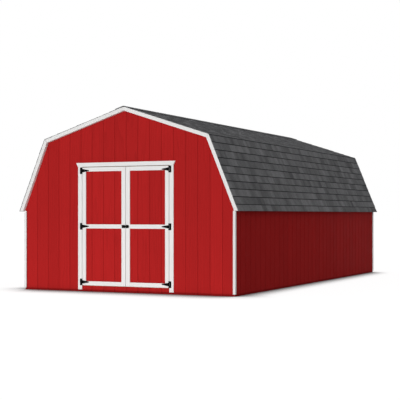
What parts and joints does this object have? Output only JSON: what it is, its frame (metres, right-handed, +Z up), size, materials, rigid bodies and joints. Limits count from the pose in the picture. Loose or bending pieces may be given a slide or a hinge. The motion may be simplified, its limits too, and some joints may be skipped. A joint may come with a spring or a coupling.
{
  "type": "gambrel storage shed",
  "caption": "Gambrel-roofed timber storage shed on a joisted floor, with grooved siding, white trim, shingles and a pair of doors that swing outward from the front gable.",
  "frame": {"origin": "on the ground at the centre of the footprint", "axes": "+Z up, front gable with the doors faces -Y, +X to the right seen from the front"},
  "size_m": [3.8474, 7.452, 2.8837],
  "materials": {
    "framing_wood": "matte",
    "sheet_wood": "matte",
    "red_siding": "matte",
    "white_trim": "satin",
    "shingles": "matte",
    "black_hardware": "satin"
  },
  "bodies": {
    "shed": {"floor_joists": "framing_wood", "floor_deck": "sheet_wood", "wall_plates": "framing_wood", "left_wall_studs": "framing_wood", "right_wall_studs": "framing_wood", "front_wall_studs": "framing_wood", "rear_wall_studs": "framing_wood", "door_header": "framing_wood", "left_siding": "red_siding", "right_siding": "red_siding", "rear_siding": "red_siding", "front_left_siding": "red_siding", "front_right_siding": "red_siding", "front_gable_siding": "red_siding", "front_sill_siding": "red_siding", "lower_rafters": "framing_wood", "upper_rafters": "framing_wood", "truss_gussets": "sheet_wood", "eave_blocks": "framing_wood", "roof_deck": "sheet_wood", "left_lower_shingles": "shingles", "left_upper_shingles": "shingles", "right_upper_shingles": "shingles", "right_lower_shingles": "shingles", "ridge_cap": "shingles", "rake_backers": "white_trim", "rake_boards": "white_trim", "corner_boards": "white_trim", "door_side_casings": "white_trim", "door_head_casing": "white_trim", "door_stops": "framing_wood", "hinge_plates": "black_hardware"},
    "left_door": {"left_door_panel": "red_siding", "left_door_stiles": "white_trim", "left_door_rails": "white_trim", "left_door_back_frame": "framing_wood", "left_hinge_straps": "black_hardware", "latch_keeper": "black_hardware"},
    "right_door": {"right_door_panel": "red_siding", "right_door_stiles": "white_trim", "right_door_rails": "white_trim", "right_door_back_frame": "framing_wood", "right_hinge_straps": "black_hardware", "latch_body": "black_hardware"},
    "bolt": {"latch_bolt": "black_hardware"}
  },
  "joints": [
    {"name": "left_door_hinge", "type": "hinge", "parent": "shed", "child": "left_door", "pos_m": [-0.765, -3.6905, 1.0215], "axis": [0, 0, -1], "range_deg": [0, 170]},
    {"name": "right_door_hinge", "type": "hinge", "parent": "shed", "child": "right_door", "pos_m": [0.765, -3.6905, 1.0215], "axis": [0, 0, 1], "range_deg": [0, 170]},
    {"name": "bolt_slide", "type": "slide", "parent": "right_door", "child": "bolt", "axis": [-1, 0, 0], "range_m": [0, 0.017]}
  ]
}
